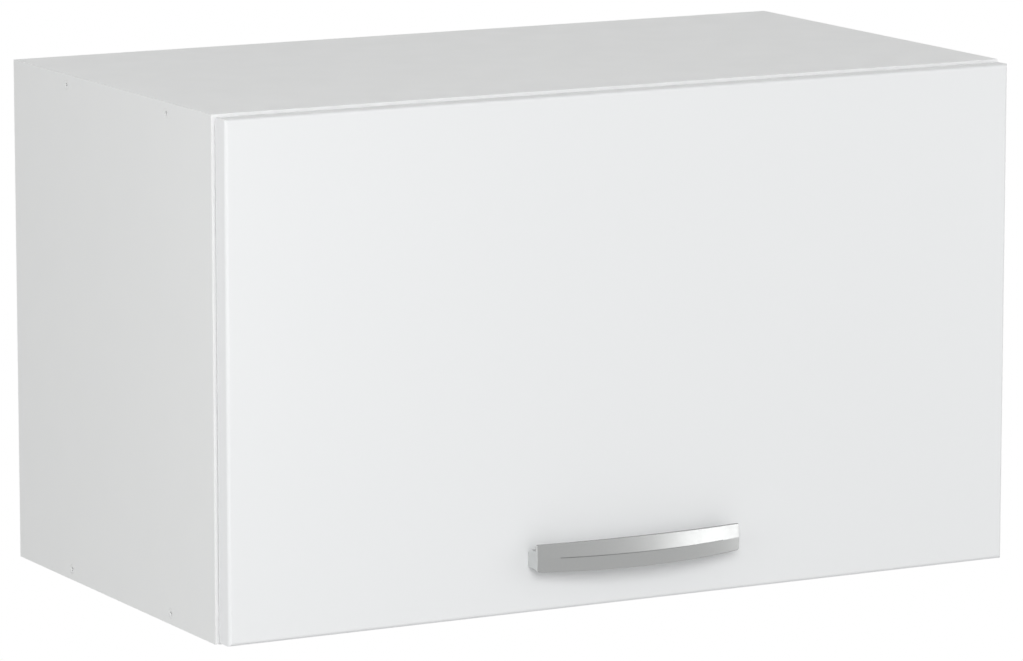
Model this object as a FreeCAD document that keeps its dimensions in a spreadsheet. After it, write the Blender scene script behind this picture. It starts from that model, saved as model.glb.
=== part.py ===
import FreeCAD, Part
import math
import os
import re

import Sketcher
from FreeCAD import Placement, Rotation, Vector

# A wall cabinet with a flap that lifts up, as hung over a cooker hood.
# Its origin is on the wall, at the middle of the carcass's lower rear edge.
# +X runs to the right as one faces the cabinet, +Y into the wall and +Z up.

doc = FreeCAD.newDocument("lift_up_wall_cabinet")
sheet = doc.addObject("Spreadsheet::Sheet", "Sizes")

SIZES = {
    # carcass of coated board
    "cabinet_width": 600,
    "cabinet_height": 350,
    "carcass_depth": 318,
    "board": 15,
    "band": 0.8,
    "back_thickness": 3,
    "back_inset": 18,
    "groove_depth": 6,
    "groove_play": 0.2,
    "hole_play": 0.1,
    "blind_end": 1,
    "driver_slot": 1,
    # one-piece board screws and wooden dowels at the four corners
    "screw_row": 69,
    "screw_pitch": 160,
    "screw_head": 3.3,
    "screw_head_rise": 3,
    "screw_sink": 0.1,
    "screw_shank": 2.5,
    "screw_length": 48,
    "screw_socket": 1.5,
    "screw_socket_depth": 2,
    "dowel_row": 37,
    "dowel_pitch": 224,
    "dowel_radius": 4,
    "dowel_length": 30,
    "dowel_in_side": 10,
    # flap of wrapped board, in front of the carcass
    "flap_thickness": 15,
    "flap_gap": 1.5,
    "flap_side_margin": 2,
    "flap_top_margin": 1.5,
    "flap_bottom_margin": 1.5,
    "flap_front_round": 2.5,
    "flap_back_round": 3,
    # cup hinge with one pin
    "hinge_place": 95,
    "cup_radius": 17.5,
    "cup_depth": 12.5,
    "cup_wall": 0.7,
    "cup_edge": 3,
    "cheek_thickness": 2,
    "cheek_rise": 4.6,
    "cheek_height": 4.4,
    "flange_half": 30,
    "flange_thickness": 0.8,
    "flange_above": 9,
    "flange_below": 15.5,
    "flange_screw_x": 24,
    "flange_screw_drop": 9.5,
    "pin_from_top": 6.5,
    "pin_from_back": 9.5,
    "pin_radius": 1.25,
    "pin_play": 0.05,
    "eye_radius": 2,
    "eye_width": 8,
    "eye_side_play": 0.6,
    "leg_behind_pin": 1.4,
    "arm_thickness": 4,
    "arm_width": 12,
    "arm_reach": 54,
    "arm_screw_row": 46,
    "arm_screw_radius": 2,
    "arm_screw_head": 4,
    "arm_screw_head_rise": 2,
    "arm_slot_travel": 5,
    "plate_thickness": 5,
    "plate_front": 12,
    "plate_length": 48,
    "plate_width": 16,
    "wing_row": 37,
    "wing_half": 23,
    "wing_width": 15,
    "wing_thickness": 2.5,
    "wing_screw_x": 16,
    # small round-head wood screws
    "wood_screw_radius": 1.6,
    "wood_screw_head": 3.2,
    "wood_screw_crown": 2.2,
    "wood_screw_brim": 0.8,
    "wood_screw_head_rise": 1.4,
    "wood_screw_length": 11,
    # gas strut with ball ends
    "strut_circle": 180,
    "stud_behind_flap": 11.5,
    "stud_below_pin": 28,
    "stud_from_side": 13,
    "ball_radius": 5,
    "ball_play": 0.3,
    "stud_neck": 2.5,
    "socket_radius": 8,
    "socket_width": 13,
    "socket_mouth": 4.4,
    "socket_shank": 5.5,
    "socket_length": 14,
    "tube_radius": 7.5,
    "tube_wall": 1,
    "tube_end": 4,
    "rod_showing": 19.5,
    "guide_length": 12,
    "rod_radius": 3,
    "rod_play": 0.3,
    "piston_length": 5,
    "piston_start": 24,
    "stud_plate_thickness": 2,
    "stud_plate_width": 18,
    "stud_plate_height": 40,
    "stud_plate_screw": 15,
    "bracket_thickness": 2,
    "bracket_width": 26,
    "bracket_height": 40,
    "bracket_screw": 13,
    "bracket_ear_height": 16,
    "bracket_ear_past_stud": 7,
    # bow handle
    "handle_length": 155.6,
    "handle_centre": 39.5,
    "handle_screw_spacing": 128,
    "handle_screw_drop": 4.5,
    "handle_end_reach": 15,
    "handle_middle_reach": 27,
    "handle_end_height": 18.5,
    "handle_middle_height": 21,
    "handle_ridge": 2.2,
    "handle_end_ridge": 0.5,
    "handle_plate": 2,
    "handle_round": 0.8,
    "handle_low_corner": 2,
    "handle_high_corner": 1.2,
    "handle_gap_half": 56,
    "handle_gap_round": 5,
    "handle_foot_drop": 5,
    "handle_foot_round": 5,
    "handle_foot_inset": 1,
    "handle_foot_rise": 1.2,
    "handle_line_half": 62.5,
    "handle_line_width": 0.8,
    "handle_line_depth": 0.4,
    "handle_screw_radius": 2,
    "handle_screw_depth": 9,
    "handle_screw_head": 4,
    "handle_screw_head_rise": 2.2,
    # wall hangers in the upper rear corners
    "hanger_width": 14,
    "hanger_depth": 38,
    "hanger_height": 58,
    "hanger_below_top": 3,
    "hanger_slot": 3,
    "hanger_peg_radius": 5,
    "hanger_peg_length": 11,
    "hanger_peg_spacing": 32,
    "hook_thickness": 2.5,
    "hook_height": 24,
    "hook_from_top": 12,
    "hook_tooth": 5,
    "hook_tooth_drop": 9,
    "hook_to_wall": 3,
    "hook_grip": 26,
    "hanger_screw_radius": 3.5,
    "hanger_screw_length": 9,
    "hanger_screw_out": 1,
    "back_notch_width": 16,
    "back_notch_height": 64,
    # soft stops for the closed flap
    "bumper_radius": 4.5,
    "bumper_height": 1.2,
    "bumper_up": 22,
}

# Lengths that follow from the sizes: the shut strut between its balls, and the tube between its ends.
FOLLOWING = {
    "strut_length": ("2 * strut_circle * sin((acos(stud_below_pin / strut_circle)"
                     " - asin((pin_from_back + stud_behind_flap) / strut_circle)) / 2)"),
    "tube_length": "strut_length - 2 * socket_length - rod_showing",
}

for row, (alias, content) in enumerate({**SIZES, **FOLLOWING}.items(), start=1):
    sheet.set(f"A{row}", alias.replace("_", " "))
    sheet.set(f"B{row}", f"={content}")
    sheet.setAlias(f"B{row}", alias)
doc.recompute()

# Places that several pieces share, as expressions of the sizes above.
INNER_HALF = "(cabinet_width / 2 - board)"
INNER_TOP = "(cabinet_height - board)"
FLAP_BACK = "(-carcass_depth - flap_gap)"
FLAP_FRONT = "(-carcass_depth - flap_gap - flap_thickness)"
FLAP_WIDTH = "(cabinet_width - 2 * flap_side_margin)"
FLAP_HEIGHT = "(cabinet_height - flap_top_margin - flap_bottom_margin)"
PIN_Y = "(-carcass_depth - flap_gap - pin_from_back)"
PIN_Z = "(cabinet_height - flap_top_margin - pin_from_top)"
CUP_Z = "(cabinet_height - flap_top_margin - cup_edge - cup_radius)"
# The hinges keep their distance from the cabinet's sides.
HINGE_X = "(cabinet_width / 2 - hinge_place)"
ARM_TOP = "(cabinet_height - board - plate_thickness)"
ARM_LOW = "(cabinet_height - board - plate_thickness - arm_thickness)"
BALL_X = "(cabinet_width / 2 - board - stud_from_side)"
# Both balls lie on one circle about the hinge pin, so the strut turns at half the flap's rate.
FLAP_BALL_OUT = "(pin_from_back + stud_behind_flap)"
FLAP_BALL_Y = "(-carcass_depth - flap_gap + stud_behind_flap)"
FLAP_BALL_DROP = "sqrt(strut_circle ^ 2 - (pin_from_back + stud_behind_flap) ^ 2)"
FLAP_BALL_Z = f"({PIN_Z} - {FLAP_BALL_DROP})"
SIDE_BALL_Y = f"({PIN_Y} + sqrt(strut_circle ^ 2 - stud_below_pin ^ 2))"
SIDE_BALL_Z = f"({PIN_Z} - stud_below_pin)"
STRUT_TILT = f"(asin({FLAP_BALL_OUT} / strut_circle) + acos(stud_below_pin / strut_circle)) / 2"
HANDLE_Z = "(flap_bottom_margin + handle_centre)"
HANDLE_SCREW_Z = "(flap_bottom_margin + handle_centre - handle_screw_drop)"
BACK_FACE = "(-back_inset - back_thickness)"
HANGER_MIDDLE_Y = f"({BACK_FACE} - hanger_depth / 2)"
HANGER_MIDDLE_Z = f"({INNER_TOP} - hanger_below_top - hanger_height / 2)"

pieces = []


def formula(text):
    """The expression with every size's name led by the sheet's."""
    return re.sub(r"[a-z][a-z_]*[a-z]",
                  lambda m: f"Sizes.{m[0]}" if m[0] in SIZES or m[0] in FOLLOWING else m[0], text)


def value(text):
    """The number that an expression of the sizes has now."""
    found = sheet.evalExpression(formula(text))
    return float(getattr(found, "Value", found))


def bind(item, name, text):
    item.setExpression(name, formula(text))


def place(item, x="0", y="0", z="0"):
    for axis, text in zip("xyz", (x, y, z)):
        bind(item, f".Placement.Base.{axis}", text)
    return item


def piece(item, label):
    """Names a finished sub-part and lists it to be written."""
    item.Label = label
    pieces.append(item)
    return item


# Sketches and the features made from them

def new_body(label):
    return piece(doc.addObject("PartDesign::Body", label), label)


def sketch(body, role, offset=None):
    drawn = body.newObject("Sketcher::SketchObject", f"{body.Name}_sketch")
    origin_plane = next(f for f in body.Origin.OriginFeatures if f.Role == role)
    drawn.AttachmentSupport = [(origin_plane, "")]
    drawn.MapMode = "FlatFace"
    if offset:
        bind(drawn, ".AttachmentOffset.Base.z", offset)
    return drawn


def fix_point(drawn, geometry, end, x, y):
    """Ties one point of a sketch to its two coordinates."""
    for kind, own_axis, text in (("DistanceX", -2, x), ("DistanceY", -1, y)):
        if text == "0":
            drawn.addConstraint(Sketcher.Constraint("PointOnObject", geometry, end, own_axis))
            continue
        index = drawn.addConstraint(
            Sketcher.Constraint(kind, -1, 1, geometry, end, value(text)))
        bind(drawn, f"Constraints[{index}]", text)


def outline(drawn, points):
    """A closed outline of straight lines through points given as expressions."""
    first = drawn.GeometryCount
    count = len(points)
    spots = [Vector(value(x), value(y), 0) for x, y in points]
    for i in range(count):
        drawn.addGeometry(Part.LineSegment(spots[i], spots[(i + 1) % count]), False)
    for i in range(count):
        drawn.addConstraint(
            Sketcher.Constraint("Coincident", first + i, 2, first + (i + 1) % count, 1))
    for i, (x, y) in enumerate(points):
        fix_point(drawn, first + i, 1, x, y)
    return drawn


def rectangle(drawn, left, low, right, high):
    return outline(drawn, [(left, low), (right, low), (right, high), (left, high)])


def circle(drawn, x, y, radius):
    index = drawn.addGeometry(
        Part.Circle(Vector(value(x), value(y), 0), Vector(0, 0, 1), value(radius)), False)
    fix_point(drawn, index, 3, x, y)
    size = drawn.addConstraint(Sketcher.Constraint("Radius", index, value(radius)))
    bind(drawn, f"Constraints[{size}]", radius)
    return drawn


def extrude(body, kind, drawn, length, reverse=False, both_ways=False):
    feature = body.newObject(f"PartDesign::{kind}", f"{body.Name}_{kind}")
    feature.Profile = drawn
    bind(feature, "Length", length)
    feature.Reversed = reverse
    feature.Midplane = both_ways
    drawn.Visibility = False
    return feature


def pad(body, drawn, length, **ways):
    return extrude(body, "Pad", drawn, length, **ways)


def pocket(body, drawn, length, **ways):
    """A pocket, with a test that it took something away."""
    doc.recompute()
    before = body.Shape.Volume
    feature = extrude(body, "Pocket", drawn, length, **ways)
    doc.recompute()
    if body.Shape.Volume > before - 1e-3:
        raise RuntimeError(f"{body.Label}: a pocket cuts nothing")
    return feature


def revolve(body, drawn):
    feature = body.newObject("PartDesign::Revolution", f"{body.Name}_Revolution")
    feature.Profile = drawn
    feature.ReferenceAxis = (drawn, ["V_Axis"])
    feature.Angle = 360
    return feature


# Plain solids and booleans

def block(x, y, z, wide, deep, tall):
    """A box from the middle of its width, its low depth and its low height."""
    item = doc.addObject("Part::Box", "block")
    for name, text in (("Length", wide), ("Width", deep), ("Height", tall)):
        bind(item, name, text)
    return place(item, f"{x} - ({wide}) / 2", y, z)


TURNS = {
    "+X": Rotation(Vector(0, 1, 0), 90),
    "-X": Rotation(Vector(0, 1, 0), -90),
    "+Y": Rotation(Vector(1, 0, 0), -90),
    "-Y": Rotation(Vector(1, 0, 0), 90),
    "+Z": Rotation(),
    "-Z": Rotation(Vector(1, 0, 0), 180),
}


def peg(x, y, z, radius, length, way):
    """A cylinder from the middle of its first end, along one axis."""
    item = doc.addObject("Part::Cylinder", "peg")
    bind(item, "Radius", radius)
    bind(item, "Height", length)
    item.Placement = Placement(Vector(), TURNS[way])
    return place(item, x, y, z)


def ball(x, y, z, radius):
    item = doc.addObject("Part::Sphere", "ball")
    bind(item, "Radius", radius)
    return place(item, x, y, z)


def fuse(*items):
    joined = doc.addObject("Part::MultiFuse", "fused")
    joined.Shapes = list(items)
    joined.Refine = True
    return joined


def cut(item, *tools):
    less = doc.addObject("Part::Cut", "less")
    less.Base = item
    less.Tool = tools[0] if len(tools) == 1 else fuse(*tools)
    return less


def group(label, items):
    """Like fasteners as one sub-part of separate solids."""
    held = doc.addObject("Part::Compound", label)
    held.Links = items
    return piece(held, label)


# Fasteners: each is turned from its own outline, head at the origin and point along +Z

def turned(name, profile):
    """A turned solid from its half outline, as radius and height."""
    body = doc.addObject("PartDesign::Body", name)
    revolve(body, outline(sketch(body, "XZ_Plane"), profile))
    return body


def copy_of(master, way, x, y, z):
    item = doc.addObject("Part::Feature", f"{master.Name}_copy")
    item.Shape = master.Shape.copy()
    item.Placement = Placement(Vector(value(x), value(y), value(z)), TURNS[way])
    return item


def socket_head(master, sides, radius, depth):
    """Sinks a hexagon or square socket into a turned screw's head."""
    drawn = sketch(master, "XY_Plane")
    spots = [(f"{radius} * cos({360 / sides * i + 30} deg)", f"{radius} * sin({360 / sides * i + 30} deg)")
             for i in range(sides)]
    outline(drawn, [(x if abs(value(x)) > 1e-6 else "0", y if abs(value(y)) > 1e-6 else "0")
                    for x, y in spots])
    pocket(master, drawn, depth, reverse=True)


board_screw = turned("board_screw", [
    ("0", "0"), ("screw_head", "0"), ("screw_head", "screw_head_rise"), ("screw_shank", "screw_head_rise"),
    ("screw_shank", "screw_length - screw_shank"), ("0", "screw_length")])
socket_head(board_screw, 6, "screw_socket", "screw_socket_depth")

wood_screw = turned("wood_screw", [
    ("0", "0"), ("wood_screw_crown", "0"), ("wood_screw_head", "wood_screw_brim"),
    ("wood_screw_head", "wood_screw_head_rise"), ("wood_screw_radius", "wood_screw_head_rise"),
    ("wood_screw_radius", "wood_screw_length - wood_screw_radius"), ("0", "wood_screw_length")])
socket_head(wood_screw, 4, "wood_screw_radius * 0.75", "wood_screw_head_rise * 0.8")

doc.recompute()

# Carcass

SCREW_ROWS = ("screw_row", "screw_row + screw_pitch")
DOWEL_ROWS = ("dowel_row", "dowel_row + dowel_pitch")
BOARD_MIDDLES = ("board / 2", "cabinet_height - board / 2")


def side_panel(label, side):
    """A side, drawn from its front lower corner, with its inner face at high or low X."""
    body = new_body(label)
    inner_high = side < 0
    pad(body, rectangle(sketch(body, "YZ_Plane"), "band", "0", "carcass_depth", "cabinet_height"), "board")
    inner = "board" if inner_high else None
    outer = None if inner_high else "board"

    drawn = sketch(body, "YZ_Plane", inner)
    rectangle(drawn, "carcass_depth - back_inset - back_thickness - groove_play", "board - groove_depth",
              "carcass_depth - back_inset + groove_play", "cabinet_height - board + groove_depth")
    pocket(body, drawn, "groove_depth", reverse=not inner_high)

    drawn = sketch(body, "YZ_Plane", inner)
    for row in DOWEL_ROWS:
        for height in BOARD_MIDDLES:
            circle(drawn, row, height, "dowel_radius + hole_play")
    pocket(body, drawn, "dowel_in_side", reverse=not inner_high)

    drawn = sketch(body, "YZ_Plane", outer)
    for row in SCREW_ROWS:
        for height in BOARD_MIDDLES:
            circle(drawn, row, height, "screw_shank + hole_play")
    pocket(body, drawn, "board", reverse=inner_high)

    drawn = sketch(body, "YZ_Plane", outer)
    for row in SCREW_ROWS:
        for height in BOARD_MIDDLES:
            circle(drawn, row, height, "screw_head + hole_play")
    pocket(body, drawn, "screw_sink + screw_head_rise", reverse=inner_high)

    # the strut's stud plate and the wall hanger's pegs
    drawn = sketch(body, "YZ_Plane", inner)
    for sign in ("+", "-"):
        circle(drawn, f"{SIDE_BALL_Y} + carcass_depth", f"{SIDE_BALL_Z} {sign} stud_plate_screw",
               "wood_screw_radius + hole_play")
    pocket(body, drawn, "wood_screw_length - stud_plate_thickness + hole_play", reverse=not inner_high)

    drawn = sketch(body, "YZ_Plane", inner)
    for sign in ("+", "-"):
        circle(drawn, f"{HANGER_MIDDLE_Y} + carcass_depth", f"{HANGER_MIDDLE_Z} {sign} hanger_peg_spacing / 2",
               "hanger_peg_radius + hole_play")
    pocket(body, drawn, "hanger_peg_length + hole_play", reverse=not inner_high)
    place(body, "-cabinet_width / 2" if inner_high else INNER_HALF, "-carcass_depth")
    return body


def level_panel(label, groove_up, base_z):
    """The top or the bottom, between the sides, drawn from its front left corner."""
    body = new_body(label)
    width = "cabinet_width - 2 * board"
    pad(body, rectangle(sketch(body, "XY_Plane"), "0", "band", width, "carcass_depth"), "board")
    drawn = sketch(body, "XY_Plane", "board" if groove_up else None)
    rectangle(drawn, "0", "carcass_depth - back_inset - back_thickness - groove_play",
              width, "carcass_depth - back_inset + groove_play")
    pocket(body, drawn, "groove_depth", reverse=not groove_up)
    for rows, radius, depth in ((SCREW_ROWS, "screw_shank", "screw_sink + screw_length - board"),
                                (DOWEL_ROWS, "dowel_radius", "dowel_length - dowel_in_side")):
        for end, reverse in ((None, True), (width, False)):
            drawn = sketch(body, "YZ_Plane", end)
            for row in rows:
                circle(drawn, row, "board / 2", f"{radius} + hole_play")
            pocket(body, drawn, f"{depth} + hole_play", reverse=reverse)
    place(body, f"-{INNER_HALF}", "-carcass_depth", base_z)
    return body


for label, side in (("side_panel_left", -1), ("side_panel_right", 1)):
    side_panel(label, side)
bottom_panel = level_panel("bottom_panel", True, "0")
top_panel = level_panel("top_panel", False, INNER_TOP)
drawn = sketch(top_panel, "XY_Plane")
for sign in ("+", "-"):
    for wing in ("+", "-"):
        circle(drawn, f"{INNER_HALF} {sign} {HINGE_X} {wing} wing_screw_x", "wing_row",
               "wood_screw_radius + hole_play")
pocket(top_panel, drawn, "wood_screw_length - wing_thickness + hole_play", reverse=True)

# The thin back slides in the grooves, and its upper corners are notched for the hanger hooks.
back_panel = new_body("back_panel")
pad(back_panel, rectangle(sketch(back_panel, "XZ_Plane"), "groove_play", "groove_play",
                          "cabinet_width - 2 * board + 2 * groove_depth - groove_play",
                          "cabinet_height - 2 * board + 2 * groove_depth - groove_play"),
    "back_thickness")
drawn = sketch(back_panel, "XZ_Plane")
NOTCH_LOW = "cabinet_height - 2 * board + groove_depth - back_notch_height"
NOTCH_HIGH = "cabinet_height - 2 * board + groove_depth"
rectangle(drawn, "groove_depth", NOTCH_LOW, "groove_depth + back_notch_width", NOTCH_HIGH)
rectangle(drawn, "cabinet_width - 2 * board + groove_depth - back_notch_width", NOTCH_LOW,
          "cabinet_width - 2 * board + groove_depth", NOTCH_HIGH)
pocket(back_panel, drawn, "back_thickness", reverse=True)
place(back_panel, f"-{INNER_HALF} - groove_depth", "-back_inset", "board - groove_depth")

# Edge bands on the carcass's front edges
for label, middle in (("edge_band_left", f"-{INNER_HALF} - board / 2"),
                      ("edge_band_right", f"{INNER_HALF} + board / 2")):
    piece(block(middle, "-carcass_depth", "0", "board", "band", "cabinet_height"), label)
for label, low in (("edge_band_bottom", "0"), ("edge_band_top", INNER_TOP)):
    piece(block("0", "-carcass_depth", low, "cabinet_width - 2 * board", "band", "board"), label)

screws = []
dowels = []
for side, way in ((-1, "+X"), (1, "-X")):
    for height in BOARD_MIDDLES:
        for row in SCREW_ROWS:
            screws.append(copy_of(board_screw, way, f"{side} * (cabinet_width / 2 - screw_sink)",
                                  f"{row} - carcass_depth", height))
        for row in DOWEL_ROWS:
            start = f"{side} * ({INNER_HALF} + dowel_in_side)"
            dowels.append(peg(start, f"{row} - carcass_depth", height, "dowel_radius", "dowel_length", way))
group("carcass_screws", screws)
group("carcass_dowels", dowels)

# Flap: one wrapped board, softly rounded at the front and rounded at its rear top edge

flap = new_body("flap_panel")
pad(flap, rectangle(sketch(flap, "XZ_Plane"), "0", "0", FLAP_WIDTH, FLAP_HEIGHT), "flap_thickness")
doc.recompute()


def straight_edges(shape, test):
    """Names of the shape's straight edges whose two ends pass the test."""
    return [f"Edge{i}" for i, edge in enumerate(shape.Edges, start=1)
            if len(edge.Vertexes) == 2 and all(test(v.Point) for v in edge.Vertexes)]


def round_edges(body, names, radius):
    sharp = body.Tip
    feature = body.newObject("PartDesign::Fillet", f"{body.Name}_Fillet")
    feature.Base = (sharp, names)
    bind(feature, "Radius", radius)
    doc.recompute()
    return feature


TOUCH = 1e-4
front_y = -value("flap_thickness")
round_edges(flap, straight_edges(flap.Shape, lambda p: abs(p.y - front_y) < TOUCH), "flap_front_round")
rim_z = value(FLAP_HEIGHT)
round_edges(flap, straight_edges(flap.Shape, lambda p: abs(p.y) < TOUCH and abs(p.z - rim_z) < TOUCH),
            "flap_back_round")
drawn = sketch(flap, "XZ_Plane")
for sign in ("+", "-"):
    circle(drawn, f"{FLAP_WIDTH} / 2 {sign} {HINGE_X}", f"{FLAP_HEIGHT} - cup_edge - cup_radius",
           "cup_radius + hole_play")
pocket(flap, drawn, "cup_depth + hole_play", reverse=True)
drawn = sketch(flap, "XZ_Plane")
for sign in ("+", "-"):
    circle(drawn, f"{FLAP_WIDTH} / 2 {sign} handle_screw_spacing / 2", "handle_centre - handle_screw_drop",
           "handle_screw_radius + hole_play")
pocket(flap, drawn, "flap_thickness", reverse=True)
drawn = sketch(flap, "XZ_Plane")
BRACKET_X = f"({BALL_X} - stud_neck * 4 - bracket_thickness - (bracket_width - bracket_thickness) / 2)"
for side in (-1, 1):
    for sign in ("+", "-"):
        circle(drawn, f"{FLAP_WIDTH} / 2 + {side} * {HINGE_X} {sign} flange_screw_x",
               f"{FLAP_HEIGHT} - cup_edge - cup_radius - flange_screw_drop", "wood_screw_radius + hole_play")
        circle(drawn, f"{FLAP_WIDTH} / 2 + {side} * {BRACKET_X}",
               f"{FLAP_BALL_Z} - flap_bottom_margin {sign} bracket_screw", "wood_screw_radius + hole_play")
pocket(flap, drawn, "wood_screw_length - flange_thickness + hole_play", reverse=True)
place(flap, f"-{FLAP_WIDTH} / 2", FLAP_BACK, "flap_bottom_margin")


# Cup hinges: a cup let into the flap, its pin, and a cranked arm that the top carries

def hinge(side, name):
    middle = f"{side} * {HINGE_X}"

    cup = new_body(f"hinge_cup_{name}")
    pad(cup, circle(sketch(cup, "XZ_Plane"), "0", "0", "cup_radius"), "cup_depth")
    pad(cup, rectangle(sketch(cup, "XZ_Plane"), "-flange_half", "-flange_below", "flange_half",
                       "flange_above"), "flange_thickness", reverse=True)
    pocket(cup, circle(sketch(cup, "XZ_Plane", "-flange_thickness"), "0", "0", "cup_radius - cup_wall"),
           "flange_thickness + cup_depth - cup_wall", reverse=True)
    drawn = sketch(cup, "XZ_Plane", "cup_depth - cup_wall")
    cheek_in = "eye_width / 2 + eye_side_play"
    cheek_low = "cup_radius + cup_edge - pin_from_top - cheek_height / 2"
    for sign in ("", "-"):
        rectangle(drawn, f"{sign}({cheek_in})", cheek_low, f"{sign}({cheek_in} + cheek_thickness)",
                  f"{cheek_low} + cheek_height")
    pad(cup, drawn, "cheek_rise", reverse=True)
    drawn = sketch(cup, "YZ_Plane")
    circle(drawn, "-pin_from_back", "cup_radius + cup_edge - pin_from_top", "pin_radius + hole_play / 2")
    pocket(cup, drawn, f"2 * ({cheek_in} + cheek_thickness)", both_ways=True)
    drawn = sketch(cup, "XZ_Plane", "-flange_thickness")
    for sign in ("", "-"):
        circle(drawn, f"{sign}flange_screw_x", "-flange_screw_drop", "wood_screw_radius + hole_play")
    pocket(cup, drawn, "flange_thickness", reverse=True)
    place(cup, middle, FLAP_BACK, CUP_Z)

    arm = new_body(f"hinge_arm_{name}")
    front = f"{PIN_Y} - eye_radius"
    pad(arm, rectangle(sketch(arm, "YZ_Plane"), front, ARM_LOW, f"{PIN_Y} + leg_behind_pin", PIN_Z),
        "eye_width", both_ways=True)
    pad(arm, circle(sketch(arm, "YZ_Plane"), PIN_Y, PIN_Z, "eye_radius"), "eye_width", both_ways=True)
    pad(arm, rectangle(sketch(arm, "YZ_Plane"), front, ARM_LOW, "arm_reach - carcass_depth", ARM_TOP),
        "arm_width", both_ways=True)
    pocket(arm, circle(sketch(arm, "YZ_Plane"), PIN_Y, PIN_Z, "pin_radius + pin_play"), "eye_width * 2",
           both_ways=True)
    drawn = sketch(arm, "XY_Plane", ARM_LOW)
    rectangle(drawn, "-arm_screw_radius - hole_play", "arm_screw_row - arm_slot_travel - carcass_depth",
              "arm_screw_radius + hole_play", "arm_screw_row + arm_slot_travel - carcass_depth")
    pocket(arm, drawn, "arm_thickness", reverse=True)
    place(arm, middle)

    plate_y = "plate_front - carcass_depth"
    core = block(middle, plate_y, ARM_TOP, "plate_width", "plate_length", "plate_thickness")
    wing_y = "wing_row - wing_width / 2 - carcass_depth"
    wings = block(middle, wing_y, f"{INNER_TOP} - wing_thickness", "2 * wing_half", "wing_width",
                  "wing_thickness")
    holes = [peg(f"{middle} {sign} wing_screw_x", "wing_row - carcass_depth", f"{INNER_TOP} - wing_thickness",
                 "wood_screw_radius + hole_play", "wing_thickness", "+Z") for sign in ("+", "-")]
    holes.append(peg(middle, "arm_screw_row - carcass_depth", ARM_TOP, "arm_screw_radius + hole_play",
                     "plate_thickness - blind_end", "+Z"))
    piece(cut(fuse(core, wings), *holes), f"hinge_plate_{name}")


for side, name in ((-1, "left"), (1, "right")):
    hinge(side, name)

group("hinge_pins", [
    peg(f"{side} * {HINGE_X} - eye_width / 2 - eye_side_play - cheek_thickness", PIN_Y, PIN_Z,
        "pin_radius", "eye_width + 2 * eye_side_play + 2 * cheek_thickness", "+X") for side in (-1, 1)])
group("hinge_cup_screws", [
    copy_of(wood_screw, "-Y", f"{side} * {HINGE_X} {sign} flange_screw_x",
            f"{FLAP_BACK} + flange_thickness + wood_screw_head_rise", f"{CUP_Z} - flange_screw_drop")
    for side in (-1, 1) for sign in ("+", "-")])
group("hinge_plate_screws", [
    copy_of(wood_screw, "+Z", f"{side} * {HINGE_X} {sign} wing_screw_x", "wing_row - carcass_depth",
            f"{INNER_TOP} - wing_thickness - wood_screw_head_rise")
    for side in (-1, 1) for sign in ("+", "-")])
arm_screws = []
for side in (-1, 1):
    spot = (f"{side} * {HINGE_X}", "arm_screw_row - carcass_depth")
    head = peg(*spot, f"{ARM_LOW} - arm_screw_head_rise", "arm_screw_head", "arm_screw_head_rise", "+Z")
    shank = peg(*spot, ARM_LOW, "arm_screw_radius", "arm_thickness + plate_thickness - 1.5 * blind_end",
                "+Z")
    slot = block(spot[0], f"{spot[1]} - arm_screw_head", f"{ARM_LOW} - arm_screw_head_rise",
                 "arm_screw_radius / 2", "2 * arm_screw_head", "arm_screw_head_rise / 2")
    arm_screws.append(cut(fuse(head, shank), slot))
group("hinge_arm_screws", arm_screws)


# Gas struts: a ball stud on the side, a cylinder, a rod, and a ball stud on the flap

def along_strut(item, x, y, z):
    """Turns a sub-part drawn along +Z to lie from the side's ball towards the flap's."""
    item.Placement = Placement(Vector(), Rotation(Vector(1, 0, 0), 90))
    bind(item, ".Placement.Rotation.Angle", f"90 deg + {STRUT_TILT}")
    return place(item, x, y, z)


def ball_socket(label, side, mouth, shank_way, x, y, z):
    """A moulded end that snaps over a ball, its shank running up or down the strut."""
    body = new_body(label)
    pad(body, circle(sketch(body, "YZ_Plane"), "0", "0", "socket_radius"), "socket_width", both_ways=True)
    pad(body, circle(sketch(body, "XY_Plane"), "0", "0", "socket_shank"), "socket_length",
        reverse=shank_way < 0)
    drawn = sketch(body, "YZ_Plane")
    round_cut = "ball_radius + ball_play"
    first = drawn.addGeometry(Part.ArcOfCircle(Part.Circle(Vector(), Vector(0, 0, 1), value(round_cut)),
                                               -math.pi / 2, math.pi / 2), False)
    drawn.addGeometry(Part.LineSegment(Vector(0, value(round_cut), 0), Vector(0, -value(round_cut), 0)),
                      False)
    drawn.addConstraint(Sketcher.Constraint("Coincident", first, 2, first + 1, 1))
    drawn.addConstraint(Sketcher.Constraint("Coincident", first, 1, first + 1, 2))
    drawn.addConstraint(Sketcher.Constraint("Coincident", first, 3, -1, 1))
    drawn.addConstraint(Sketcher.Constraint("PointOnObject", first, 2, -2))
    drawn.addConstraint(Sketcher.Constraint("PointOnObject", first, 1, -2))
    size = drawn.addConstraint(Sketcher.Constraint("Radius", first, value(round_cut)))
    bind(drawn, f"Constraints[{size}]", round_cut)
    hollow = body.newObject("PartDesign::Groove", f"{body.Name}_Groove")
    hollow.Profile = drawn
    hollow.ReferenceAxis = (drawn, ["V_Axis"])
    hollow.Angle = 360
    pocket(body, circle(sketch(body, "YZ_Plane"), "0", "0", "socket_mouth"), "socket_width / 2",
           reverse=side * mouth > 0)
    return along_strut(body, x, y, z)


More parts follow.
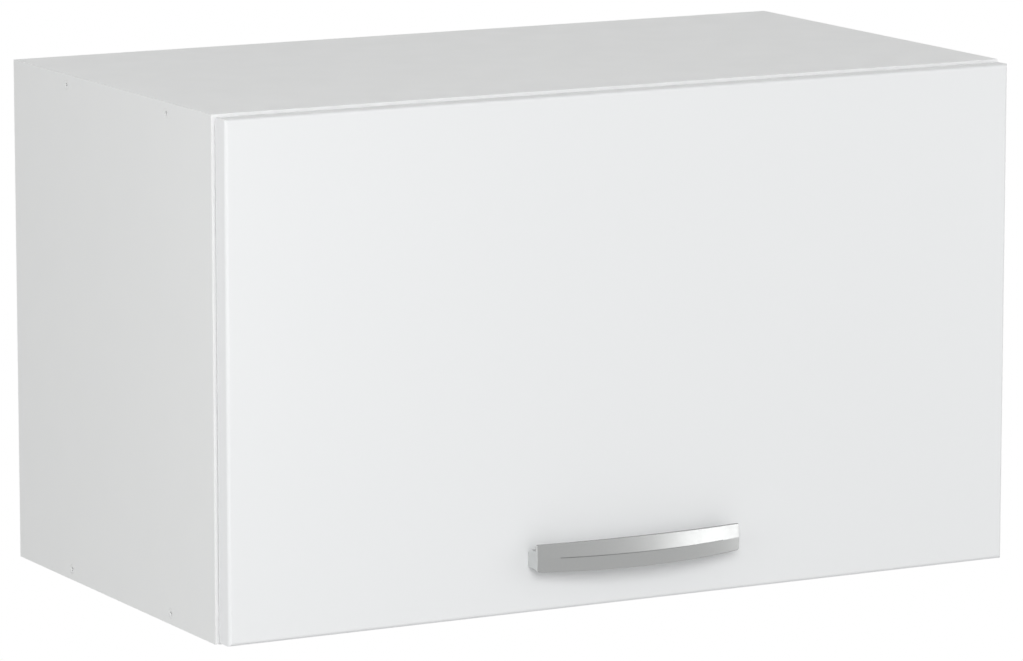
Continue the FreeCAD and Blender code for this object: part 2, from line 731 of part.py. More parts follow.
def strut(side, name):
    side_x = f"{side} * {BALL_X}"
    near = (side_x, SIDE_BALL_Y, SIDE_BALL_Z)
    far = (side_x, FLAP_BALL_Y, FLAP_BALL_Z)
    ball_socket(f"strut_upper_socket_{name}", side, 1, 1, *near)
    ball_socket(f"strut_lower_socket_{name}", side, -1, -1, *far)

    tube = new_body(f"strut_cylinder_{name}")
    end = "socket_length + tube_length"
    revolve(tube, outline(sketch(tube, "XZ_Plane"), [
        ("0", "socket_length"), ("tube_radius", "socket_length"), ("tube_radius", end),
        ("tube_radius - tube_wall", end), ("tube_radius - tube_wall", "socket_length + tube_end"),
        ("0", "socket_length + tube_end")]))
    along_strut(tube, *near)

    guide = new_body(f"strut_guide_{name}")
    low = f"{end} - guide_length"
    revolve(guide, outline(sketch(guide, "XZ_Plane"), [
        ("rod_radius + rod_play", low), ("tube_radius - tube_wall", low),
        ("tube_radius - tube_wall", end), ("rod_radius + rod_play", end)]))
    along_strut(guide, *near)

    rod = new_body(f"strut_rod_{name}")
    piston_low = "piston_start - strut_length"
    piston_high = "piston_start + piston_length - strut_length"
    piston = "tube_radius - tube_wall - rod_play"
    revolve(rod, outline(sketch(rod, "XZ_Plane"), [
        ("0", piston_low), (piston, piston_low), (piston, piston_high), ("rod_radius", piston_high),
        ("rod_radius", "-socket_length"), ("0", "-socket_length")]))
    along_strut(rod, *far)

    plate_x = f"{side} * ({INNER_HALF} - stud_plate_thickness / 2)"
    plate = block(plate_x, f"{SIDE_BALL_Y} - stud_plate_width / 2", f"{SIDE_BALL_Z} - stud_plate_height / 2",
                  "stud_plate_thickness", "stud_plate_width", "stud_plate_height")
    inward = "-X" if side > 0 else "+X"
    outward = "+X" if side > 0 else "-X"
    neck = peg(f"{side} * {INNER_HALF}", SIDE_BALL_Y, SIDE_BALL_Z, "stud_neck", "stud_from_side", inward)
    holes = [peg(f"{side} * {INNER_HALF}", SIDE_BALL_Y, f"{SIDE_BALL_Z} {sign} stud_plate_screw",
                 "wood_screw_radius + hole_play", "stud_plate_thickness", inward) for sign in ("+", "-")]
    piece(cut(fuse(plate, neck, ball(*near, "ball_radius")), *holes), f"strut_side_stud_{name}")

    ear_out = f"({BALL_X} - stud_neck * 4)"
    base = block(f"{side} * ({ear_out} - bracket_width / 2)", FLAP_BACK, f"{FLAP_BALL_Z} - bracket_height / 2",
                 "bracket_width", "bracket_thickness", "bracket_height")
    ear = block(f"{side} * ({ear_out} - bracket_thickness / 2)", FLAP_BACK,
                f"{FLAP_BALL_Z} - bracket_ear_height / 2", "bracket_thickness",
                "stud_behind_flap + bracket_ear_past_stud", "bracket_ear_height")
    neck = peg(f"{side} * ({ear_out} - bracket_thickness)", FLAP_BALL_Y, FLAP_BALL_Z, "stud_neck",
               "stud_neck * 4 + bracket_thickness", outward)
    holes = [peg(f"{side} * {BRACKET_X}", FLAP_BACK, f"{FLAP_BALL_Z} {sign} bracket_screw",
                 "wood_screw_radius + hole_play", "bracket_thickness", "+Y") for sign in ("+", "-")]
    piece(cut(fuse(base, ear, neck, ball(*far, "ball_radius")), *holes), f"strut_flap_bracket_{name}")


for side, name in ((-1, "left"), (1, "right")):
    strut(side, name)

group("strut_side_stud_screws", [
    copy_of(wood_screw, "+X" if side > 0 else "-X",
            f"{side} * ({INNER_HALF} - stud_plate_thickness - wood_screw_head_rise)", SIDE_BALL_Y,
            f"{SIDE_BALL_Z} {sign} stud_plate_screw") for side in (-1, 1) for sign in ("+", "-")])
group("strut_bracket_screws", [
    copy_of(wood_screw, "-Y", f"{side} * {BRACKET_X}",
            f"{FLAP_BACK} + bracket_thickness + wood_screw_head_rise", f"{FLAP_BALL_Z} {sign} bracket_screw")
    for side in (-1, 1) for sign in ("+", "-")])

# Bow handle: a bent plate with a ridge along its front, on two feet set in from its edges

HANDLE_STATIONS = 9
# The two lines of the plate's front, by their reach off the flap in the middle and at the ends.
RIDGE_LINE = ("handle_middle_reach", "handle_end_reach")
SHOULDER_LINE = ("(handle_middle_reach - handle_ridge)", "(handle_end_reach - handle_end_ridge)")


def arc_radius(middle, end):
    """The radius of an arc of the bow, from its reach in the middle and at the ends."""
    half = value("handle_length / 2")
    rise = value(f"{middle} - {end}")
    return (half ** 2 + rise ** 2) / (2 * rise)


def reach_at(x, middle, end):
    """How far an arc of the bow stands off the flap at one place along it."""
    radius = arc_radius(middle, end)
    return value(middle) - radius + math.sqrt(radius ** 2 - x ** 2)


def handle_section(x):
    """One section of the handle: flat at the flap, with a ridge that fades towards the ends."""
    fade = 1 - (x / value("handle_length / 2")) ** 2
    tall = value("handle_end_height") + value("handle_middle_height - handle_end_height") * fade
    reach = reach_at(x, *RIDGE_LINE)
    shoulder = reach_at(x, *SHOULDER_LINE)
    face = value(FLAP_FRONT)
    mid = value(HANDLE_Z)
    spots = [(face, tall / 2), (face - shoulder, tall / 2), (face - reach, 0),
             (face - shoulder, -tall / 2), (face, -tall / 2)]
    return Part.makePolygon([Vector(x, y, mid + z) for y, z in spots + spots[:1]])


def behind_plate(half, low, high):
    """The space between the flap and the bent plate, over a length and a height."""
    face = value(FLAP_FRONT)
    over = value("handle_plate")
    middle = face - reach_at(0, *SHOULDER_LINE) + over
    foot = face - reach_at(half, *SHOULDER_LINE) + over
    left, right = Vector(-half, foot, low), Vector(half, foot, low)
    bow = Part.Arc(left, Vector(0, middle, low), right).toShape()
    back_left, back_right = Vector(-half, face + over, low), Vector(half, face + over, low)
    rim = [Part.makeLine(back_left, left), bow, Part.makeLine(right, back_right),
           Part.makeLine(back_right, back_left)]
    return Part.Face(Part.Wire(rim)).extrude(Vector(0, 0, high - low))


def ridge_line():
    """The fine V-shaped line cut along the ridge, which stops short of both ends."""
    radius = arc_radius(*RIDGE_LINE)
    turn = math.asin(value("handle_line_half") / radius)
    centre = Vector(0, value(FLAP_FRONT) - value("handle_middle_reach") + radius, value(HANDLE_Z))
    outward = Vector(-math.sin(turn), -math.cos(turn), 0)
    depth = value("handle_line_depth")
    width = value("handle_line_width")
    spots = [centre + outward * (radius + out) + Vector(0, 0, up)
             for out, up in ((-depth, 0), (depth, width), (depth, -width), (-depth, 0))]
    return Part.Face(Part.makePolygon(spots)).revolve(centre, Vector(0, 0, 1), math.degrees(2 * turn))


def edges_where(shape, test):
    return [e for e in shape.Edges if len(e.Vertexes) == 2 and test(*(v.Point for v in e.Vertexes))]


handle_half = value("handle_length / 2")
handle_low = value(f"{HANDLE_Z} - handle_middle_height")
handle_high = value(f"{HANDLE_Z} + handle_middle_height")
foot_top = value(f"{HANDLE_Z} + handle_end_height / 2 - handle_foot_drop")
foot_low = value(f"{HANDLE_Z} - handle_end_height / 2 + handle_foot_rise")
foot_end = value("handle_length / 2 - handle_foot_inset")
flap_face = value(FLAP_FRONT)
sections = [handle_section(handle_half * (2 * i / (HANDLE_STATIONS - 1) - 1)) for i in range(HANDLE_STATIONS)]
bow = Part.makeLoft(sections, True, False)
for corner, way in (("handle_low_corner", -1), ("handle_high_corner", 1)):
    bow = bow.makeFillet(value(corner), edges_where(bow, lambda a, b: (
        min(abs(a.x), abs(b.x)) > handle_half - TOUCH and a.x * b.x > 0 and abs(a.z - b.z) < TOUCH
        and (a.z - value(HANDLE_Z)) * way > 1 and abs(a.y - b.y) > value("handle_ridge"))))
rim_behind = flap_face - value("handle_end_reach - handle_end_ridge") + TOUCH
bow = bow.makeFillet(value("handle_round"), edges_where(bow, lambda a, b: (
    max(a.y, b.y) < rim_behind and abs(a.z - value(HANDLE_Z)) + abs(b.z - value(HANDLE_Z)) > 1
    and (a.x * b.x > 0 and min(abs(a.x), abs(b.x)) > handle_half - value("handle_low_corner") - TOUCH
         or min(abs(a.z - value(HANDLE_Z)), abs(b.z - value(HANDLE_Z))) > value("handle_end_height") / 2 - TOUCH))))
finger_gap = behind_plate(value("handle_gap_half"), handle_low, handle_high)
finger_gap = finger_gap.makeFillet(value("handle_gap_round"), edges_where(finger_gap, lambda a, b: (
    abs(a.z - b.z) > 1 and a.y < flap_face)))
round_feet = behind_plate(handle_half + value("handle_plate"), handle_low, handle_high)
round_feet = round_feet.cut(Part.makeBox(
    2 * foot_end, value("handle_middle_reach + handle_plate"), foot_top - foot_low,
    Vector(-foot_end, flap_face - value("handle_middle_reach"), foot_low)))
bow = bow.cut(finger_gap).cut(round_feet).cut(ridge_line())
bow = bow.makeFillet(value("handle_foot_round"), edges_where(bow, lambda a, b: (
    max(abs(p.z - foot_top) for p in (a, b)) < TOUCH and max(abs(p.y - flap_face) for p in (a, b)) < TOUCH)))
for side in (-1, 1):
    bore_at = Vector(side * value("handle_screw_spacing / 2"), flap_face, value(HANDLE_SCREW_Z))
    bow = bow.cut(Part.makeCylinder(value("handle_screw_radius + hole_play"), value("handle_screw_depth"),
                                    bore_at, Vector(0, -1, 0)))
handle = doc.addObject("Part::Feature", "handle")
handle.Shape = bow
piece(handle, "handle")

handle_screws = []
for side in (-1, 1):
    spot_x = f"{side} * handle_screw_spacing / 2"
    head = peg(spot_x, f"{FLAP_BACK} + handle_screw_head_rise", HANDLE_SCREW_Z, "handle_screw_head",
               "handle_screw_head_rise", "-Y")
    shank = peg(spot_x, FLAP_BACK, HANDLE_SCREW_Z, "handle_screw_radius",
                "flap_thickness + handle_screw_depth - blind_end", "-Y")
    slot = block(spot_x, f"{FLAP_BACK} + handle_screw_head_rise / 2", f"{HANDLE_SCREW_Z} - handle_screw_head",
                 "handle_screw_radius / 2", "handle_screw_head_rise", "2 * handle_screw_head")
    handle_screws.append(cut(fuse(head, shank), slot))
group("handle_screws", handle_screws)


# Wall hangers: a housing pegged to the side, and a hook that reaches through the back

def hanger(side, name):
    near_side = f"{side} * ({INNER_HALF} - hanger_width / 2)"
    low = f"({INNER_TOP} - hanger_below_top - hanger_height)"
    front = f"({BACK_FACE} - hanger_depth)"
    outward = "+X" if side > 0 else "-X"
    shell = block(near_side, front, low, "hanger_width", "hanger_depth", "hanger_height")
    pegs = [peg(f"{side} * {INNER_HALF}", HANGER_MIDDLE_Y, f"{HANGER_MIDDLE_Z} {sign} hanger_peg_spacing / 2",
                "hanger_peg_radius", "hanger_peg_length", outward) for sign in ("+", "-")]
    hook_low = f"({INNER_TOP} - hanger_below_top - hook_from_top - hook_height)"
    slot = block(near_side, f"{BACK_FACE} - hook_grip - hole_play", f"{hook_low} - hook_height / 2",
                 "hanger_slot", "hook_grip + 2 * hole_play", "hook_height * 1.75")
    screws_at = [f"{low} + hanger_height * 0.22", f"{hook_low} + hook_height / 2"]
    bores = [peg(near_side, front, spot, "hanger_screw_radius + hole_play",
                 "hanger_screw_length - hanger_screw_out", "+Y") for spot in screws_at]
    piece(cut(fuse(shell, *pegs), slot, *bores), f"hanger_body_{name}")

    hook = new_body(f"hanger_hook_{name}")
    tip = "-hook_to_wall"
    throat = "-hook_to_wall - hook_tooth"
    top = f"{hook_low} + hook_height"
    drawn = outline(sketch(hook, "YZ_Plane"), [
        (f"{BACK_FACE} - hook_grip", hook_low), (throat, hook_low), (throat, f"{hook_low} - hook_tooth_drop"),
        (tip, f"{hook_low} - hook_tooth_drop"), (tip, top), (f"{BACK_FACE} - hook_grip", top)])
    pad(hook, drawn, "hook_thickness", both_ways=True)
    place(hook, near_side)
    return [(near_side, front, spot) for spot in screws_at]


hanger_screws = []
for side, name in ((-1, "left"), (1, "right")):
    for x, y, z in hanger(side, name):
        shaft = peg(x, f"{y} - hanger_screw_out", z, "hanger_screw_radius", "hanger_screw_length", "+Y")
        slot = block(x, f"{y} - hanger_screw_out", f"{z} - hanger_screw_radius", "driver_slot",
                     "hanger_screw_out", "2 * hanger_screw_radius")
        hanger_screws.append(cut(shaft, slot))
group("hanger_screws", hanger_screws)

# Soft stops on the side panels' front edges
group("flap_bumpers", [
    peg(f"{side} * (cabinet_width / 2 - board / 2)", "-carcass_depth", "bumper_up", "bumper_radius",
        "bumper_height", "-Y") for side in (-1, 1)])

doc.recompute()

# Every object is tested before anything is written.
faults = [f"{item.Label}: {' '.join(item.State)}" for item in doc.Objects
          if {"Invalid", "Error"} & set(item.State)]
for item in pieces:
    if item.Shape.isNull() or not item.Shape.isValid() or not item.Shape.Solids:
        faults.append(f"{item.Label}: no valid solid")
if faults:
    raise RuntimeError("; ".join(faults))

os.makedirs("parts", exist_ok=True)
for item in pieces:
    item.Shape.exportStep(f"parts/{item.Label}.step")
    print(f"{item.Label}: {len(item.Shape.Solids)} solid(s), {item.Shape.Volume / 1000:.2f} cm3")
print(f"{len(pieces)} sub-parts, struts {value('strut_length'):.1f} mm long when the flap is shut")
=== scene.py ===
import math

import bmesh
import bpy
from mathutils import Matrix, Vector

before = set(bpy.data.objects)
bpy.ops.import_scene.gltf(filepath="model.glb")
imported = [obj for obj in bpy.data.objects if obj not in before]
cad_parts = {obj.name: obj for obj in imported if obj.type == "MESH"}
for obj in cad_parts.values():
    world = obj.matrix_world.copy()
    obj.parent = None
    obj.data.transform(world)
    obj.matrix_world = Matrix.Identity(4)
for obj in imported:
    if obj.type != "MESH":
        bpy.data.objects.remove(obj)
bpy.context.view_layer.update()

# The camera stands well back to the left, a little above the cabinet's top.
# Its long lens keeps the cabinet's upright edges almost parallel.
# The lens is in millimetres, and here and below places are in metres and angles in radians.
focal_length = 214.54
camera_place = (-1.9655, -3.8443, 0.8822)
camera_dip = 0.1712
camera_turn = 0.4909
scene = bpy.context.scene
scene.view_settings.view_transform = "Standard"
lens = bpy.data.cameras.new("long_lens")
lens.sensor_width = 36
lens.lens = focal_length
lens.clip_end = 100
camera = bpy.data.objects.new("camera", lens)
camera.location = camera_place
camera.rotation_euler = (math.pi / 2 - camera_dip, 0, -camera_turn)
scene.collection.objects.link(camera)
scene.camera = camera

# Studio floor: a plain pale sheet, far enough below that the open cabinet can be seen from beneath.
# It is matt where the cabinet's shadow falls, and runs out to plain white far off.
floor_drop = 2.6
floor_reach = 30
floor_grey = 0.78
fade_start = 1.1
fade_end = 3.4
floor_mesh = bmesh.new()
bmesh.ops.create_grid(floor_mesh, x_segments=1, y_segments=1, size=floor_reach)
bmesh.ops.translate(floor_mesh, verts=floor_mesh.verts, vec=(0, 0, -floor_drop))
floor_data = bpy.data.meshes.new("studio_floor")
floor_mesh.to_mesh(floor_data)
floor_mesh.free()
floor = bpy.data.objects.new("studio_floor", floor_data)
scene.collection.objects.link(floor)


def add_node(tree, kind, sockets=None, **settings):
    """Adds a shader node with its settings, and fills or links its sockets by name or number."""
    node = tree.nodes.new(kind)
    for name, setting in settings.items():
        setattr(node, name, setting)
    for socket, value in (sockets or {}).items():
        if isinstance(value, bpy.types.NodeSocket):
            tree.links.new(value, node.inputs[socket])
        else:
            node.inputs[socket].default_value = value
    return node


def reckon(tree, operation, *values):
    """Works a number out from others."""
    return add_node(tree, "ShaderNodeMath", dict(enumerate(values)), operation=operation).outputs[0]


def between(tree, value, low, high, out_low=0, out_high=1, curve="LINEAR"):
    """Spreads a value's range over another range."""
    sockets = {"Value": value, "From Min": low, "From Max": high, "To Min": out_low, "To Max": out_high}
    return add_node(tree, "ShaderNodeMapRange", sockets, interpolation_type=curve).outputs["Result"]


def in_sight(tree):
    """Is 1 for what shows straight on, in metal or through glass, and 0 for the light on other things."""
    rays = add_node(tree, "ShaderNodeLightPath").outputs
    straight_or_mirrored = reckon(tree, "MAXIMUM", rays["Is Camera Ray"], rays["Is Glossy Ray"])
    return reckon(tree, "MAXIMUM", straight_or_mirrored, rays["Is Transmission Ray"])


floor_paint = bpy.data.materials.new("floor_paint")
floor_paint.use_nodes = True
tree = floor_paint.node_tree
tree.nodes.clear()
place = add_node(tree, "ShaderNodeTexCoord").outputs["Object"]
distance = add_node(tree, "ShaderNodeVectorMath", {0: place}, operation="LENGTH").outputs["Value"]
faded = between(tree, distance, fade_start, fade_end, curve="SMOOTHSTEP")
whiteness = reckon(tree, "MULTIPLY", in_sight(tree), faded)
matt = add_node(tree, "ShaderNodeBsdfDiffuse", {"Color": (floor_grey, floor_grey, floor_grey, 1)})
white = add_node(tree, "ShaderNodeEmission", {"Color": (1, 1, 1, 1), "Strength": 1})
mixed = add_node(tree, "ShaderNodeMixShader", {0: whiteness, 1: matt.outputs[0], 2: white.outputs[0]})
add_node(tree, "ShaderNodeOutputMaterial", {"Surface": mixed.outputs[0]})
floor_data.materials.append(floor_paint)

# Studio room: soft white light from all round, which is most of the light and is dimmer overhead.
# Where the room itself shows, it is plain white.
light_at_sides = 0.86
light_overhead = 0.33
room = bpy.data.worlds.new("white_room")
scene.world = room
room.use_nodes = True
tree = room.node_tree
tree.nodes.clear()
way = add_node(tree, "ShaderNodeTexCoord").outputs["Generated"]
upward = add_node(tree, "ShaderNodeSeparateXYZ", {"Vector": way}).outputs["Z"]
light = between(tree, upward, 0, 1, light_at_sides, light_overhead)
strength = between(tree, in_sight(tree), 0, 1, light, 1)
glow = add_node(tree, "ShaderNodeBackground", {"Color": (1, 1, 1, 1), "Strength": strength})
add_node(tree, "ShaderNodeOutputWorld", {"Surface": glow.outputs[0]})


# Lamps: a broad one in front and a weak one near each side, none of which shows in a reflection.
# A fourth, at the right, is mirrored in the bow handle alone and gives it its bright end.
def soft_lamp(name, spot, aim, width, height, power):
    """Adds a flat lamp that faces a point."""
    data = bpy.data.lights.new(name, "AREA")
    data.shape = "RECTANGLE"
    data.size = width
    data.size_y = height
    data.energy = power
    lamp = bpy.data.objects.new(name, data)
    lamp.location = spot
    lamp.rotation_euler = (Vector(aim) - Vector(spot)).to_track_quat("-Z", "Y").to_euler()
    scene.collection.objects.link(lamp)
    return lamp


flap_middle = (0, -0.3, 0.17)
left_side = (-0.3, -0.25, 0.17)
flap_right = (0.25, -0.33, 0.17)
handle_middle = (0, -0.35, 0.05)
front_lamp = soft_lamp("front_lamp", (-1.2, -3.3, 1.5), flap_middle, width=1.6, height=1.1, power=43)
left_lamp = soft_lamp("left_lamp", (-1.0, -0.68, 0.3), left_side, width=0.7, height=0.7, power=1.5)
right_lamp = soft_lamp("right_lamp", (0.9, -1.0, 0.3), flap_right, width=0.5, height=0.5, power=0.85)
for lamp in (front_lamp, left_lamp, right_lamp):
    lamp.visible_glossy = False
handle_lamp = soft_lamp("handle_lamp", (1.75, -1.47, 0.5), handle_middle, width=1.45, height=1.9, power=24)
handle_lamp.visible_diffuse = False
lit_handle = bpy.data.collections.new("lit_handle")
lit_handle.objects.link(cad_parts["handle"])
handle_lamp.light_linking.receiver_collection = lit_handle


# Carcass: four panels of 15 mm chipboard, coated white on both faces, with the rear edges left raw.
# The side panels cover the ends of the top and bottom panels, and are screwed to them.
def new_finish(name, colour, roughness, metallic=0.0):
    """Starts a material and returns it with its tree and its shader."""
    finish = bpy.data.materials.new(name)
    finish.use_nodes = True
    shader = finish.node_tree.nodes["Principled BSDF"]
    shader.inputs["Base Color"].default_value = (*colour, 1)
    shader.inputs["Roughness"].default_value = roughness
    shader.inputs["Metallic"].default_value = metallic
    return finish, finish.node_tree, shader


def noise(tree, per_metre, detail=3, roughness=0.5, stretch=None):
    """A soft random pattern with about so many blotches in a metre, stretched along the axes if asked."""
    place = add_node(tree, "ShaderNodeTexCoord").outputs["Object"]
    if stretch:
        place = add_node(tree, "ShaderNodeMapping", {"Vector": place, "Scale": stretch}).outputs["Vector"]
    sockets = {"Vector": place, "Scale": per_metre, "Detail": detail, "Roughness": roughness}
    return add_node(tree, "ShaderNodeTexNoise", sockets).outputs["Fac"]


def along(tree, coordinate, axis):
    """One axis of the surface's place ("Object") or of the way that it faces ("Normal")."""
    place = add_node(tree, "ShaderNodeTexCoord").outputs[coordinate]
    return add_node(tree, "ShaderNodeSeparateXYZ", {"Vector": place}).outputs[axis]


def blend(tree, value, first, second):
    """Goes from one colour to another as a value rises from 0 to 1."""
    sockets = {0: value}
    for socket, colour in ((6, first), (7, second)):
        sockets[socket] = colour if isinstance(colour, bpy.types.NodeSocket) else (*colour, 1)
    return add_node(tree, "ShaderNodeMix", sockets, data_type="RGBA").outputs[2]


def colour_by(tree, shader, value, first, second):
    """Gives a finish one colour where a value is 0 and another where it is 1."""
    tree.links.new(blend(tree, value, first, second), shader.inputs["Base Color"])


def roughen(tree, shader, pattern, smoothest, roughest, low=0.3, high=0.7):
    """Lets the roughness follow a pattern, which for a noise keeps mostly between 0.3 and 0.7."""
    tree.links.new(between(tree, pattern, low, high, smoothest, roughest), shader.inputs["Roughness"])


def relief(tree, shader, height, depth):
    """Raises the surface by a depth, in metres, where a height is 1."""
    bump = add_node(tree, "ShaderNodeBump", {"Height": height, "Distance": depth, "Strength": 1})
    tree.links.new(bump.outputs["Normal"], shader.inputs["Normal"])


def both_sides(*names):
    """The names of the left and the right one of each piece."""
    return [f"{name}_{side}" for name in names for side in ("left", "right")]


def dress(finish, *names):
    """Gives a finish to solids of the model."""
    for name in names:
        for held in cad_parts[name].material_slots:
            held.material = finish


coating_dark = (0.822, 0.832, 0.828)
coating_light = (0.838, 0.847, 0.843)
chip_pale = (0.56, 0.40, 0.23)
chip_dark = (0.33, 0.21, 0.11)
chips_per_metre = 520
chip_roughness = 0.85
raw_edge_begins = -0.002
raw_edge_whole = -0.001
coated_board, tree, shader = new_finish("coated_board", (0.83, 0.84, 0.835), roughness=0.38)
coat = blend(tree, noise(tree, per_metre=6, detail=2), coating_dark, coating_light)
place = add_node(tree, "ShaderNodeTexCoord").outputs["Object"]
chips = add_node(tree, "ShaderNodeTexVoronoi", {"Vector": place, "Scale": chips_per_metre})
chip_shade = add_node(tree, "ShaderNodeSeparateColor", {"Color": chips.outputs["Color"]}).outputs[0]
raw = blend(tree, chip_shade, chip_pale, chip_dark)
rearward = between(tree, along(tree, "Normal", "Y"), low=0.9, high=0.95)
rearmost = between(tree, along(tree, "Object", "Y"), raw_edge_begins, raw_edge_whole)
bare = reckon(tree, "MULTIPLY", rearward, rearmost)
colour_by(tree, shader, bare, coat, raw)
coat_roughness = between(tree, noise(tree, per_metre=40, detail=2), 0.3, 0.7, out_low=0.34, out_high=0.42)
roughen(tree, shader, bare, coat_roughness, chip_roughness, low=0, high=1)
relief(tree, shader, noise(tree, per_metre=900, detail=2), depth=0.00002)
dress(coated_board, *both_sides("side_panel"), "bottom_panel", "top_panel")

# Edge bands: plastic strip, 0.8 mm thick and a little whiter than the coating.
# It is glued to the carcass's front edges and trimmed flush with both faces.
band_dark = (0.912, 0.918, 0.918)
band_light = (0.926, 0.931, 0.931)
band_plastic, tree, shader = new_finish("band_plastic", (0.92, 0.925, 0.925), roughness=0.32)
colour_by(tree, shader, noise(tree, per_metre=60, detail=2), band_dark, band_light)
drawn_out = noise(tree, per_metre=300, detail=2, stretch=(1, 1, 0.1))
roughen(tree, shader, drawn_out, smoothest=0.28, roughest=0.36)
relief(tree, shader, noise(tree, per_metre=1400, detail=2), depth=0.00001)
dress(band_plastic, *both_sides("edge_band"), "edge_band_bottom", "edge_band_top")

# Back: 3 mm hardboard in the panels' grooves, white lacquer inside and bare brown fibre outside.
# The bare side keeps the mark of the press's wire mesh, one wire in about 2 mm.
fibre_dark = (0.27, 0.165, 0.09)
fibre_light = (0.40, 0.26, 0.15)
lacquer_dark = (0.79, 0.795, 0.79)
lacquer_light = (0.81, 0.815, 0.81)
mesh_turn_per_metre = 3000
hardboard, tree, shader = new_finish("hardboard", (0.8, 0.8, 0.79), roughness=0.5)
bare = between(tree, along(tree, "Normal", "Y"), low=0.2, high=0.4)
clump = between(tree, noise(tree, per_metre=260, detail=6, roughness=0.7), low=0.35, high=0.65)
fibre = blend(tree, clump, fibre_dark, fibre_light)
lacquer = blend(tree, noise(tree, per_metre=9, detail=2), lacquer_dark, lacquer_light)
colour_by(tree, shader, bare, lacquer, fibre)
roughen(tree, shader, bare, smoothest=0.42, roughest=0.8, low=0, high=1)
mesh_mark = bare
for axis in ("X", "Z"):
    turned = reckon(tree, "MULTIPLY", along(tree, "Object", axis), mesh_turn_per_metre)
    mesh_mark = reckon(tree, "MULTIPLY", mesh_mark, reckon(tree, "SINE", turned))
relief(tree, shader, mesh_mark, depth=0.0001)
dress(hardboard, "back_panel")

# Carcass fixings: white-headed board screws through the sides, and beech dowels inside the joints.
# Each screw's head is 6.6 mm wide and sits a little below the coating.
screw_white_dark = (0.80, 0.81, 0.805)
screw_white_light = (0.835, 0.845, 0.84)
screw_lacquer, tree, shader = new_finish("screw_lacquer", (0.82, 0.83, 0.825), roughness=0.4)
colour_by(tree, shader, noise(tree, per_metre=700), screw_white_dark, screw_white_light)
roughen(tree, shader, noise(tree, per_metre=1500), smoothest=0.32, roughest=0.5)
relief(tree, shader, noise(tree, per_metre=2500, detail=2), depth=0.00002)
dress(screw_lacquer, "carcass_screws")

beech_light = (0.72, 0.54, 0.35)
beech_dark = (0.55, 0.38, 0.22)
beech, tree, shader = new_finish("beech", (0.66, 0.48, 0.30), roughness=0.6)
grain = noise(tree, per_metre=500, detail=5, roughness=0.6, stretch=(0.08, 1, 1))
colour_by(tree, shader, between(tree, grain, low=0.35, high=0.65), beech_light, beech_dark)
roughen(tree, shader, grain, smoothest=0.5, roughest=0.7)
relief(tree, shader, grain, depth=0.0001)
dress(beech, "carcass_dowels")

# Flap: one 15 mm fibreboard panel wrapped in a satin white film, with softly rounded front edges.
# Its top edge is painted greyer than the front, as painted shade standing in for the lesser light that
# reaches it.
film_dark = (0.862, 0.873, 0.880)
film_light = (0.876, 0.887, 0.892)
painted_shade_on_top = (0.775, 0.785, 0.787)
flap_film, tree, shader = new_finish("flap_film", (0.87, 0.88, 0.885), roughness=0.34)
film = blend(tree, noise(tree, per_metre=4, detail=2), film_dark, film_light)
# Painted shade: faces turned upwards get the greyer colour.
shaded_top_mask = between(tree, along(tree, "Normal", "Z"), low=0.5, high=0.95)
colour_by(tree, shader, shaded_top_mask, film, painted_shade_on_top)
roughen(tree, shader, noise(tree, per_metre=35), smoothest=0.30, roughest=0.38)
relief(tree, shader, noise(tree, per_metre=260), depth=0.00002)
dress(flap_film, "flap_panel")

# Bow handle: cast metal under a satin silver-grey lacquer, with a fine line cut along its ridge.
# Its end walls are painted paler than the front, as painted light standing in for the light they catch
# from the left.
silver = (0.385, 0.39, 0.388)
silver_dark = (0.37, 0.375, 0.373)
silver_light = (0.39, 0.395, 0.393)
painted_light_end_wall = (0.70, 0.71, 0.705)
handle_lacquer, tree, shader = new_finish("handle_lacquer", silver, roughness=0.36, metallic=0.85)
front_silver = blend(tree, noise(tree, per_metre=900), silver_dark, silver_light)
# Painted light: faces turned sideways, the end walls, get the paler colour.
lit_end_wall_mask = between(tree, reckon(tree, "ABSOLUTE", along(tree, "Normal", "X")), low=0.6, high=0.9)
colour_by(tree, shader, lit_end_wall_mask, front_silver, painted_light_end_wall)
roughen(tree, shader, noise(tree, per_metre=400), smoothest=0.32, roughest=0.4)
relief(tree, shader, noise(tree, per_metre=1500, detail=2), depth=0.00001)
dress(handle_lacquer, "handle")

# Hinges: cups, cranked arms and mounting plates of pressed steel, nickel-plated.
# Screws hold the cups to the flap and the plates to the carcass, and a pin joins each arm to its cup.
# The gas struts' ball studs and brackets have the same plating.
nickel_dark = (0.59, 0.58, 0.56)
nickel_light = (0.66, 0.65, 0.63)
nickel_plate, tree, shader = new_finish("nickel_plate", (0.62, 0.61, 0.59), roughness=0.28, metallic=1)
colour_by(tree, shader, noise(tree, per_metre=300, detail=4), nickel_dark, nickel_light)
wiped = noise(tree, per_metre=900, detail=4, roughness=0.6)
roughen(tree, shader, wiped, smoothest=0.2, roughest=0.36)
relief(tree, shader, noise(tree, per_metre=1800), depth=0.00001)
dress(nickel_plate, *both_sides("hinge_cup", "hinge_arm", "hinge_plate"), "hinge_pins",
      "hinge_cup_screws", "hinge_plate_screws", "hinge_arm_screws",
      *both_sides("strut_side_stud", "strut_flap_bracket"))

# Small fixing screws and the hanger hooks: zinc-plated steel, a little bluer and duller than the hinges.
# The screws hold the struts' fittings and the handle, and set the hangers' hooks.
zinc_dark = (0.53, 0.55, 0.58)
zinc_light = (0.63, 0.65, 0.68)
zinc_plate, tree, shader = new_finish("zinc_plate", (0.58, 0.60, 0.63), roughness=0.36, metallic=1)
colour_by(tree, shader, noise(tree, per_metre=500, detail=4), zinc_dark, zinc_light)
wiped = noise(tree, per_metre=1200, detail=4, roughness=0.6)
roughen(tree, shader, wiped, smoothest=0.28, roughest=0.46)
relief(tree, shader, noise(tree, per_metre=2200), depth=0.00001)
dress(zinc_plate, "strut_side_stud_screws", "strut_bracket_screws", "handle_screws", "hanger_screws",
      *both_sides("hanger_hook"))

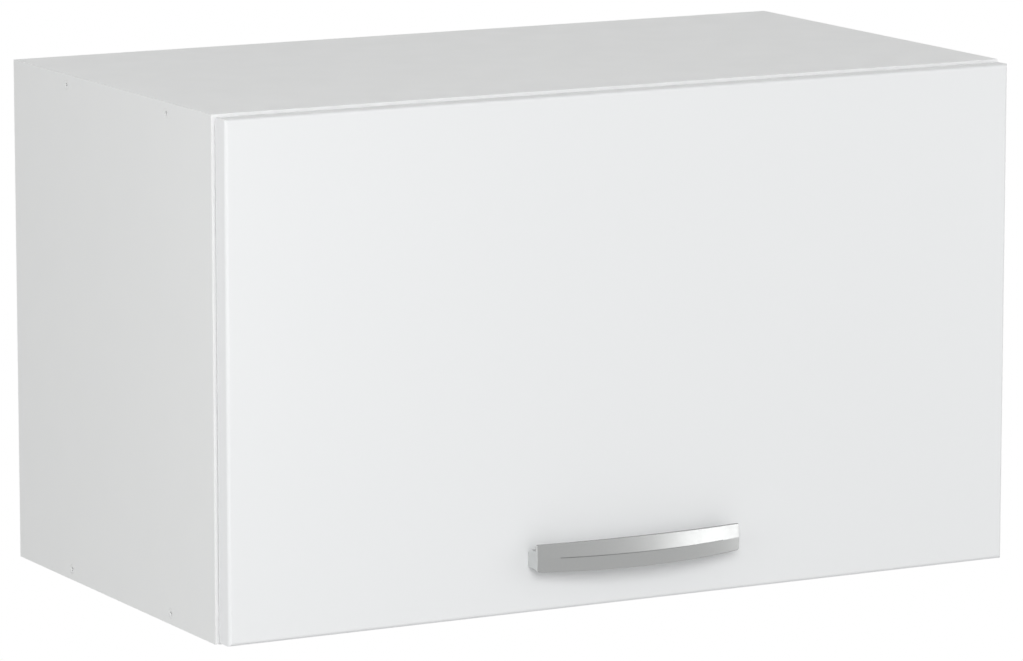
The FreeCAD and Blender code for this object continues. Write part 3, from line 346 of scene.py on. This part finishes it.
# Gas struts: a black-lacquered steel tube of 15 mm and a polished rod of 6 mm that slides in its guide.
# The moulded black sockets at both ends snap over the ball studs.
tube_dark = (0.09, 0.09, 0.095)
tube_light = (0.115, 0.115, 0.12)
tube_lacquer, tree, shader = new_finish("tube_lacquer", (0.10, 0.10, 0.105), roughness=0.35)
shader.inputs["Coat Weight"].default_value = 0.5
shader.inputs["Coat Roughness"].default_value = 0.2
colour_by(tree, shader, noise(tree, per_metre=200), tube_dark, tube_light)
roughen(tree, shader, noise(tree, per_metre=700), smoothest=0.3, roughest=0.42)
relief(tree, shader, noise(tree, per_metre=1200, detail=2), depth=0.00002)
dress(tube_lacquer, *both_sides("strut_cylinder"))

rod_dark = (0.66, 0.67, 0.68)
rod_light = (0.70, 0.71, 0.72)
rod_polish, tree, shader = new_finish("rod_polish", (0.68, 0.69, 0.70), roughness=0.1, metallic=1)
colour_by(tree, shader, noise(tree, per_metre=250, detail=2), rod_dark, rod_light)
roughen(tree, shader, noise(tree, per_metre=1500), smoothest=0.07, roughest=0.14)
dress(rod_polish, *both_sides("strut_rod"))

black_dark = (0.026, 0.026, 0.028)
black_light = (0.038, 0.038, 0.04)
black_plastic, tree, shader = new_finish("black_plastic", (0.03, 0.03, 0.032), roughness=0.5)
colour_by(tree, shader, noise(tree, per_metre=400), black_dark, black_light)
roughen(tree, shader, noise(tree, per_metre=1500), smoothest=0.42, roughest=0.6)
relief(tree, shader, noise(tree, per_metre=1800), depth=0.00004)
dress(black_plastic, *both_sides("strut_upper_socket", "strut_lower_socket", "strut_guide"))

# Wall hangers: moulded white housings in the carcass's upper rear corners, pegged to the sides.
# Each carries a steel hook that reaches to the wall through a notch in the back.
housing_dark = (0.79, 0.79, 0.77)
housing_light = (0.815, 0.815, 0.795)
white_plastic, tree, shader = new_finish("white_plastic", (0.80, 0.80, 0.78), roughness=0.42)
colour_by(tree, shader, noise(tree, per_metre=50), housing_dark, housing_light)
roughen(tree, shader, noise(tree, per_metre=1200), smoothest=0.36, roughest=0.5)
relief(tree, shader, noise(tree, per_metre=1500), depth=0.00003)
dress(white_plastic, *both_sides("hanger_body"))

# Stops: two soft clear pads, 9 mm wide, that quieten the closing flap.
# They are stuck to the side panels' front edges near the bottom.
pad_dark = (0.72, 0.72, 0.70)
pad_light = (0.77, 0.77, 0.75)
soft_pad, tree, shader = new_finish("soft_pad", (0.74, 0.74, 0.72), roughness=0.3)
shader.inputs["Subsurface Weight"].default_value = 0.4
shader.inputs["Subsurface Scale"].default_value = 0.002
colour_by(tree, shader, noise(tree, per_metre=300), pad_dark, pad_light)
roughen(tree, shader, noise(tree, per_metre=900), smoothest=0.24, roughest=0.38)
dress(soft_pad, "flap_bumpers")
